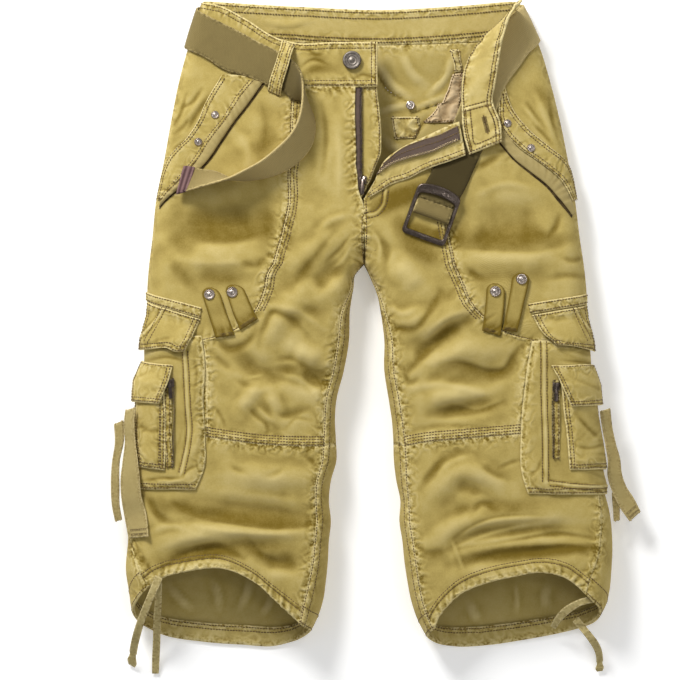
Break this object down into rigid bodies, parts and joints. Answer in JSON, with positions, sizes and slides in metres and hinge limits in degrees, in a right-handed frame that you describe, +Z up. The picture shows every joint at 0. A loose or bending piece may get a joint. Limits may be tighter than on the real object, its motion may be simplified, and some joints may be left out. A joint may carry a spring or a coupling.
{
  "type": "cargo shorts",
  "caption": "Three-quarter-length cargo shorts with zipped cargo pockets and a webbing belt, laid flat with the fly open.",
  "frame": {"origin": "bottom centre of the box round the shorts without their hem ties, on the surface they lie on", "axes": "+Z up off the surface the shorts lie on, +Y from the hems to the waist, +X to the right as seen from above with the waist away"},
  "size_m": [0.5679, 0.7377, 0.0717],
  "materials": {
    "twill": "washed cotton twill",
    "twill_back": "washed cotton twill, inner face in shade",
    "webbing": "woven cotton webbing",
    "zip_tape": "woven tape",
    "gunmetal": "gunmetal plating, worn",
    "steel": "aged nickel plating"
  },
  "bodies": {
    "shorts": {"back_waistband": "twill_back", "belt_back": "webbing", "belt_buckle_loop": "webbing", "belt_front_left": "webbing", "belt_loop_back_centre": "twill_back", "belt_loop_back_left": "twill_back", "belt_loop_back_right": "twill_back", "belt_loop_front_left": "twill", "belt_right": "webbing", "belt_tail": "webbing", "buckle": "gunmetal", "button": "steel", "cargo_left_slider": "gunmetal", "cargo_pocket_left": "twill", "cargo_pocket_right": "twill", "cargo_right_slider": "gunmetal", "centre_front_left": "twill", "centre_front_right": "twill", "fly_facing": "twill", "fly_shield": "twill", "fly_slider": "gunmetal", "front_waistband_left": "twill", "front_waistband_right": "twill", "hem_casing_left": "twill", "hem_casing_right": "twill", "hip_front_left": "twill", "hip_front_right": "twill", "lower_back_left": "twill_back", "lower_back_right": "twill_back", "lower_front_left": "twill", "lower_front_right": "twill", "pocket_band_left": "twill", "pocket_band_right": "twill", "side_panel_left": "twill", "side_panel_right": "twill", "slant_band_left": "twill", "slant_band_right": "twill", "small_flap_left": "twill", "small_flap_right": "twill", "small_pocket_left": "twill", "small_pocket_right": "twill", "strap_left": "webbing", "strap_right": "webbing", "tab_left_1": "twill", "tab_left_2": "twill", "tab_right_1": "twill", "tab_right_2": "twill", "tie_left_1": "webbing", "tie_left_2": "webbing", "tie_right_1": "webbing", "tie_right_2": "webbing", "upper_back_left": "twill_back", "upper_back_right": "twill_back", "upper_flap_left": "twill", "upper_flap_right": "twill", "zip_tape_left": "zip_tape", "zip_tape_right": "zip_tape"},
    "cargo_left_pull_tab": {"cargo_left_pull_tab": "gunmetal"},
    "cargo_right_pull_tab": {"cargo_right_pull_tab": "gunmetal"},
    "fly_pull_tab": {"fly_pull_tab": "gunmetal"}
  },
  "joints": [
    {"name": "cargo_left_pull_tab_hinge", "type": "hinge", "parent": "shorts", "child": "cargo_left_pull_tab", "pos_m": [-0.22922, -0.0648, 0.0582], "axis": [-0.9963, -0.0349, -0.078], "range_deg": [0, 120]},
    {"name": "cargo_right_pull_tab_hinge", "type": "hinge", "parent": "shorts", "child": "cargo_right_pull_tab", "pos_m": [0.19083, -0.06821, 0.05864], "axis": [-0.9967, 0.0349, 0.0727], "range_deg": [0, 150]},
    {"name": "fly_pull_tab_hinge", "type": "hinge", "parent": "shorts", "child": "fly_pull_tab", "pos_m": [-0.02007, 0.1573, 0.04171], "axis": [-1, 0, -0.004], "range_deg": [0, 150]}
  ]
}
